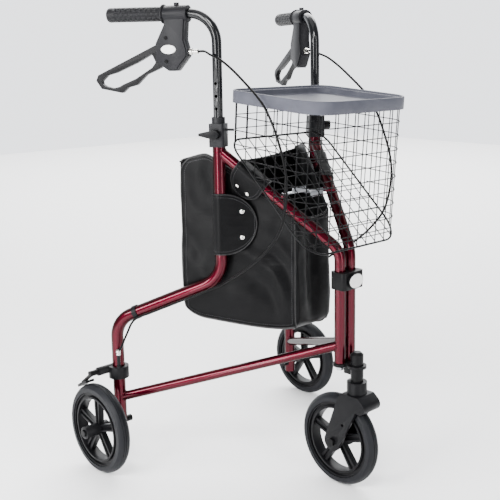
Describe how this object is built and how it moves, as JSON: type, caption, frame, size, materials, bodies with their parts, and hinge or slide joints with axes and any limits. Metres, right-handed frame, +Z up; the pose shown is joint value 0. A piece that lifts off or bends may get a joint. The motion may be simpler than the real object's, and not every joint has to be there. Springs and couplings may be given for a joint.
{
  "type": "three wheel rollator",
  "caption": "Folding walker on a swivelling front wheel and fixed rear wheels, with height-set handles, loop brakes, a wire basket with a tray and a cloth bag between the side frames.",
  "frame": {"origin": "on the floor, under the middle of the part's bounding box", "axes": "+Z up, the walker faces -Y, the user's right side is at -X"},
  "size_m": [0.702, 0.586, 0.958],
  "materials": {
    "ruby_tube": "metallic gloss",
    "black_tube": "gloss",
    "black_steel": "satin",
    "dark_plastic": "fine texture",
    "black_plastic": "satin",
    "grip_rubber": "matte",
    "tyre_rubber": "matte",
    "zinc": "zinc plated",
    "chrome": "polished",
    "cloth": "coated cloth",
    "tray_grey": "satin"
  },
  "bodies": {
    "front_hinge": {"upper_hinge_bracket": "black_plastic", "lower_hinge_bracket": "black_steel", "stem_housing": "black_steel", "hinge_bolts": "zinc", "bag": "cloth"},
    "fork": {"caster_fork": "dark_plastic", "front_axle": "zinc"},
    "front_wheel": {"front_tyre": "tyre_rubber", "front_rim": "black_plastic"},
    "basket": {"basket_edges": "black_steel", "basket_front_mesh": "black_steel", "basket_right_mesh": "black_steel", "basket_left_mesh": "black_steel", "basket_floor_mesh": "black_steel", "basket_rear_mesh": "black_steel"},
    "tray": {"tray": "tray_grey"},
    "right_frame": {"main_tube_right": "ruby_tube", "front_tube_right": "ruby_tube", "lower_tube_right": "ruby_tube", "clamp_right": "dark_plastic", "rear_axle_right": "zinc", "brake_bracket_right": "black_steel", "brake_cable_right": "black_plastic", "cable_fittings_right": "zinc", "bag_flap_right": "cloth", "bag_strap_right": "cloth", "press_studs_right": "chrome"},
    "right_handle": {"handle_tube_right": "black_tube", "grip_right": "grip_rubber", "lever_housing_right": "dark_plastic", "barrel_adjuster_right": "chrome"},
    "right_lever": {"brake_lever_right": "dark_plastic"},
    "right_brake": {"brake_arm_right": "zinc", "brake_shoe_right": "black_plastic"},
    "right_knob": {"clamp_knob_right": "black_plastic"},
    "right_link": {"fold_link_right": "zinc"},
    "right_wheel": {"rear_tyre_right": "tyre_rubber", "rear_rim_right": "black_plastic"},
    "left_frame": {"main_tube_left": "ruby_tube", "front_tube_left": "ruby_tube", "lower_tube_left": "ruby_tube", "clamp_left": "dark_plastic", "rear_axle_left": "zinc", "brake_bracket_left": "black_steel", "brake_cable_left": "black_plastic", "cable_fittings_left": "zinc", "bag_flap_left": "cloth", "bag_strap_left": "cloth", "press_studs_left": "chrome"},
    "left_handle": {"handle_tube_left": "black_tube", "grip_left": "grip_rubber", "lever_housing_left": "dark_plastic", "barrel_adjuster_left": "chrome"},
    "left_lever": {"brake_lever_left": "dark_plastic"},
    "left_brake": {"brake_arm_left": "zinc", "brake_shoe_left": "black_plastic"},
    "left_knob": {"clamp_knob_left": "black_plastic"},
    "left_link": {"fold_link_left": "zinc"},
    "left_wheel": {"rear_tyre_left": "tyre_rubber", "rear_rim_left": "black_plastic"}
  },
  "joints": [
    {"name": "right_fold", "type": "hinge", "parent": "front_hinge", "child": "right_frame", "pos_m": [-0.0144, -0.21, 0.43], "axis": [0, 0, -1], "range_deg": [0, 24], "deforming": ["brake_cable_right", "bag"]},
    {"name": "right_link_pivot", "type": "hinge", "parent": "right_frame", "child": "right_link", "pos_m": [-0.05764, -0.10545, 0.591], "axis": [0, 0, 1], "range_deg": [0, 103.22]},
    {"name": "right_height", "type": "slide", "parent": "right_frame", "child": "right_handle", "axis": [0, 0, 1], "range_m": [-0.072, 0.024], "deforming": ["brake_cable_right"]},
    {"name": "right_squeeze", "type": "hinge", "parent": "right_handle", "child": "right_lever", "pos_m": [-0.18305, 0.09147, 0.8668], "axis": [0.898, 0.4399, 0], "range_deg": [0, 16], "stiffness_Nm_per_rad": 2, "springref_deg": -11.46},
    {"name": "right_brake_pivot", "type": "hinge", "parent": "right_frame", "child": "right_brake", "pos_m": [-0.30869, 0.212, 0.212], "axis": [-1, 0, 0], "range_deg": [0, 1.8]},
    {"name": "right_clamp_turn", "type": "hinge", "parent": "right_frame", "child": "right_knob", "pos_m": [-0.13657, -0.00342, 0.709], "axis": [-0.8607, -0.509, 0], "range_deg": [0, 270]},
    {"name": "right_wheel_spin", "type": "hinge", "parent": "right_frame", "child": "right_wheel", "pos_m": [-0.30869, 0.198, 0.095], "axis": [1, 0, 0], "continuous": true},
    {"name": "left_fold", "type": "hinge", "parent": "front_hinge", "child": "left_frame", "pos_m": [0.0144, -0.21, 0.43], "axis": [0, 0, 1], "range_deg": [0, 24], "deforming": ["brake_cable_left", "bag"]},
    {"name": "left_link_pivot", "type": "hinge", "parent": "left_frame", "child": "left_link", "pos_m": [0.05764, -0.10545, 0.591], "axis": [0, 0, -1], "range_deg": [0, 103.22]},
    {"name": "left_height", "type": "slide", "parent": "left_frame", "child": "left_handle", "axis": [0, 0, 1], "range_m": [-0.072, 0.024], "deforming": ["brake_cable_left"]},
    {"name": "left_squeeze", "type": "hinge", "parent": "left_handle", "child": "left_lever", "pos_m": [0.18305, 0.09147, 0.8668], "axis": [0.898, -0.4399, 0], "range_deg": [0, 16], "stiffness_Nm_per_rad": 2, "springref_deg": -11.46},
    {"name": "left_brake_pivot", "type": "hinge", "parent": "left_frame", "child": "left_brake", "pos_m": [0.30869, 0.212, 0.212], "axis": [-1, 0, 0], "range_deg": [0, 1.8]},
    {"name": "left_clamp_turn", "type": "hinge", "parent": "left_frame", "child": "left_knob", "pos_m": [0.13657, -0.00342, 0.709], "axis": [0.8607, -0.509, 0], "range_deg": [0, 270]},
    {"name": "left_wheel_spin", "type": "hinge", "parent": "left_frame", "child": "left_wheel", "pos_m": [0.30869, 0.198, 0.095], "axis": [1, 0, 0], "continuous": true},
    {"name": "caster_swivel", "type": "hinge", "parent": "front_hinge", "child": "fork", "pos_m": [0, -0.242, 0.25], "axis": [0, 0, 1], "continuous": true},
    {"name": "front_wheel_spin", "type": "hinge", "parent": "fork", "child": "front_wheel", "pos_m": [0, -0.198, 0.095], "axis": [1, 0, 0], "continuous": true},
    {"name": "basket_lift", "type": "slide", "parent": "front_hinge", "child": "basket", "axis": [0, -0.866, 0.5], "range_m": [0, 0.12]},
    {"name": "tray_lift", "type": "slide", "parent": "basket", "child": "tray", "axis": [0, 0, 1], "range_m": [0, 0.06]}
  ],
  "couplings": [
    {"joint": "right_link_pivot", "follows": "right_fold", "ratio": 4.28},
    {"joint": "right_brake_pivot", "follows": "right_squeeze", "ratio": 0.11},
    {"joint": "left_link_pivot", "follows": "right_fold", "ratio": 4.28},
    {"joint": "left_fold", "follows": "right_fold", "ratio": 1},
    {"joint": "left_brake_pivot", "follows": "left_squeeze", "ratio": 0.11}
  ]
}
